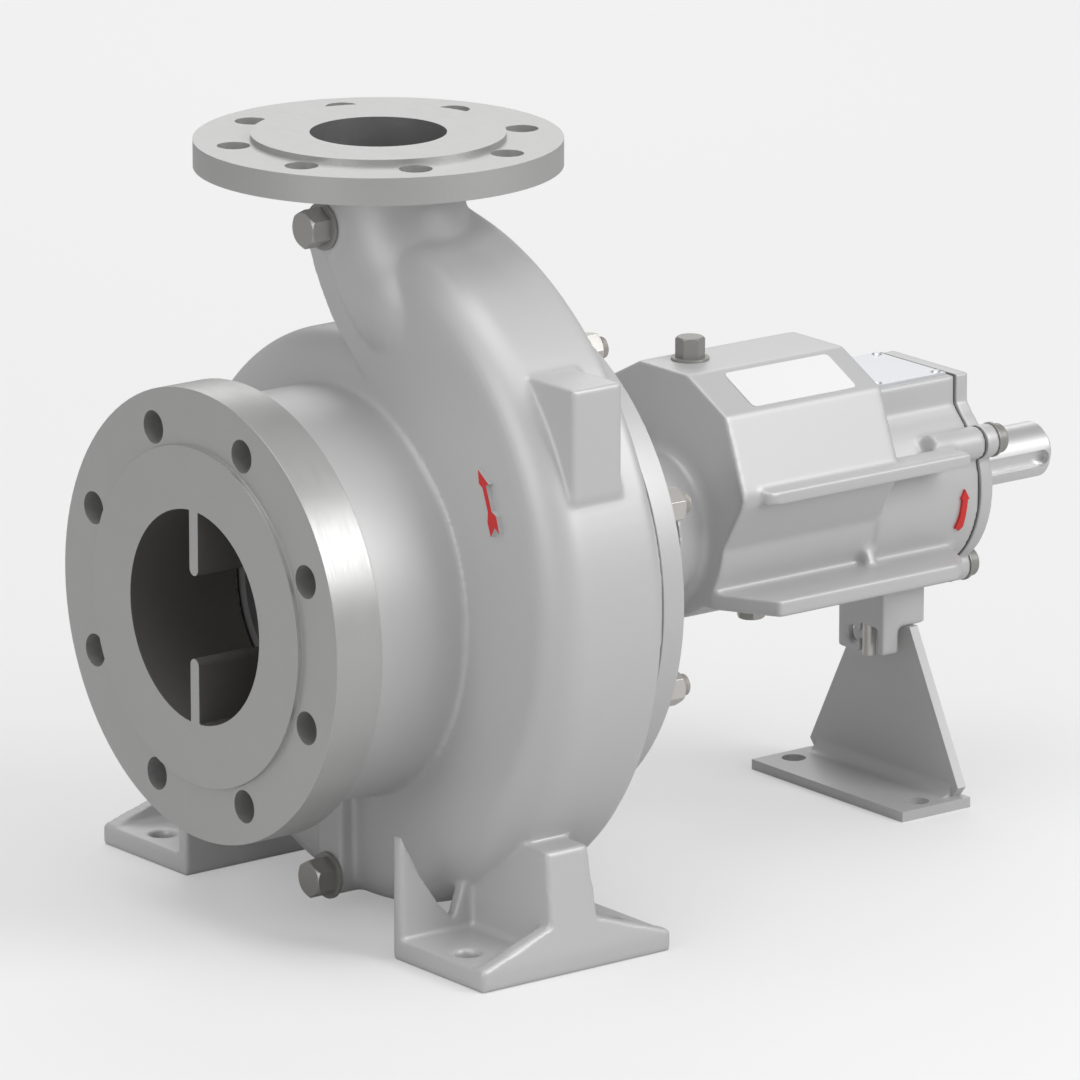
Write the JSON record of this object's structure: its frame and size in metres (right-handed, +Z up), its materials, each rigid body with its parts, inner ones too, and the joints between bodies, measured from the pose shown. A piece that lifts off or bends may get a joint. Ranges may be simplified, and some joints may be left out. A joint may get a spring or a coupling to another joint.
{
  "type": "thermic fluid pump",
  "caption": "Single-stage end-suction volute pump for hot thermic fluid, with flanged suction and discharge, feet, bearing bracket and bare drive shaft.",
  "frame": {"origin": "on the floor, on the centre of the four casing foot holes, under the discharge axis and the shaft axis", "axes": "+X along the shaft from the suction flange to the drive end, +Z up along the discharge axis, the lug side is -Y"},
  "size_m": [0.595, 0.3675, 0.43],
  "materials": {
    "cast_silver": "satin silver paint over castings",
    "sheet_silver": "satin silver paint over sheet",
    "bolt_steel": "zinc plated",
    "plug_steel": "plain steel",
    "arrow_red": "red enamel",
    "impeller_iron": "machined casting",
    "shaft_steel": "ground",
    "seal_metal": "formed and turned steel",
    "seal_carbon": "lapped carbon",
    "gasket_graphite": "pressed graphite",
    "oil_seal_rubber": "moulded",
    "bearing_steel": "polished",
    "cage_brass": "machined",
    "label_white": "blank adhesive label",
    "nameplate_metal": "blank brushed sheet"
  },
  "bodies": {
    "pump_body": {"volute_casing": "cast_silver", "casing_cover": "cast_silver", "seal_gland": "cast_silver", "bearing_bracket": "cast_silver", "end_cover": "cast_silver", "support_foot": "sheet_silver", "casing_studs": "bolt_steel", "casing_nuts": "bolt_steel", "gland_studs": "bolt_steel", "gland_nuts": "bolt_steel", "lantern_screws": "bolt_steel", "end_cover_screws": "bolt_steel", "support_bolt": "bolt_steel", "support_washer": "bolt_steel", "support_pin": "bolt_steel", "priming_plug": "plug_steel", "priming_plug_washer": "plug_steel", "drain_plug": "plug_steel", "drain_plug_washer": "plug_steel", "end_cover_washers": "plug_steel", "oil_filler_plug": "plug_steel", "oil_filler_washer": "plug_steel", "oil_drain_plug": "plug_steel", "casing_arrow": "arrow_red", "housing_arrow": "arrow_red", "front_wear_ring": "impeller_iron", "rear_wear_ring": "impeller_iron", "retaining_ring": "seal_metal", "seal_seat": "seal_carbon", "casing_gasket": "gasket_graphite", "end_cover_gasket": "gasket_graphite", "front_oil_seal": "oil_seal_rubber", "rear_oil_seal": "oil_seal_rubber", "front_bearing_outer": "bearing_steel", "rear_bearing_outer": "bearing_steel", "label_plate": "label_white", "nameplate": "nameplate_metal", "nameplate_rivets": "nameplate_metal"},
    "rotor": {"pump_shaft": "shaft_steel", "impeller": "impeller_iron", "impeller_nut": "shaft_steel", "impeller_key": "shaft_steel", "shaft_sleeve": "shaft_steel", "seal_ring": "seal_carbon", "seal_bellows": "seal_metal", "seal_collar": "seal_metal", "deflector_ring": "seal_metal", "front_bearing_inner": "bearing_steel", "rear_bearing_inner": "bearing_steel", "bearing_lock_washer": "seal_metal", "bearing_lock_nut": "seal_metal"},
    "front_cage": {"front_bearing_balls": "bearing_steel", "front_bearing_cage": "cage_brass"},
    "rear_cage": {"rear_bearing_balls": "bearing_steel", "rear_bearing_cage": "cage_brass"}
  },
  "joints": [
    {"name": "shaft_spin", "type": "hinge", "parent": "pump_body", "child": "rotor", "pos_m": [0, 0, 0.18], "axis": [1, 0, 0], "continuous": true},
    {"name": "front_cage_spin", "type": "hinge", "parent": "pump_body", "child": "front_cage", "pos_m": [0.2175, 0, 0.18], "axis": [1, 0, 0], "continuous": true},
    {"name": "rear_cage_spin", "type": "hinge", "parent": "pump_body", "child": "rear_cage", "pos_m": [0.3575, 0, 0.18], "axis": [1, 0, 0], "continuous": true}
  ],
  "couplings": [
    {"joint": "front_cage_spin", "follows": "shaft_spin", "ratio": 0.3846},
    {"joint": "rear_cage_spin", "follows": "shaft_spin", "ratio": 0.3846}
  ]
}
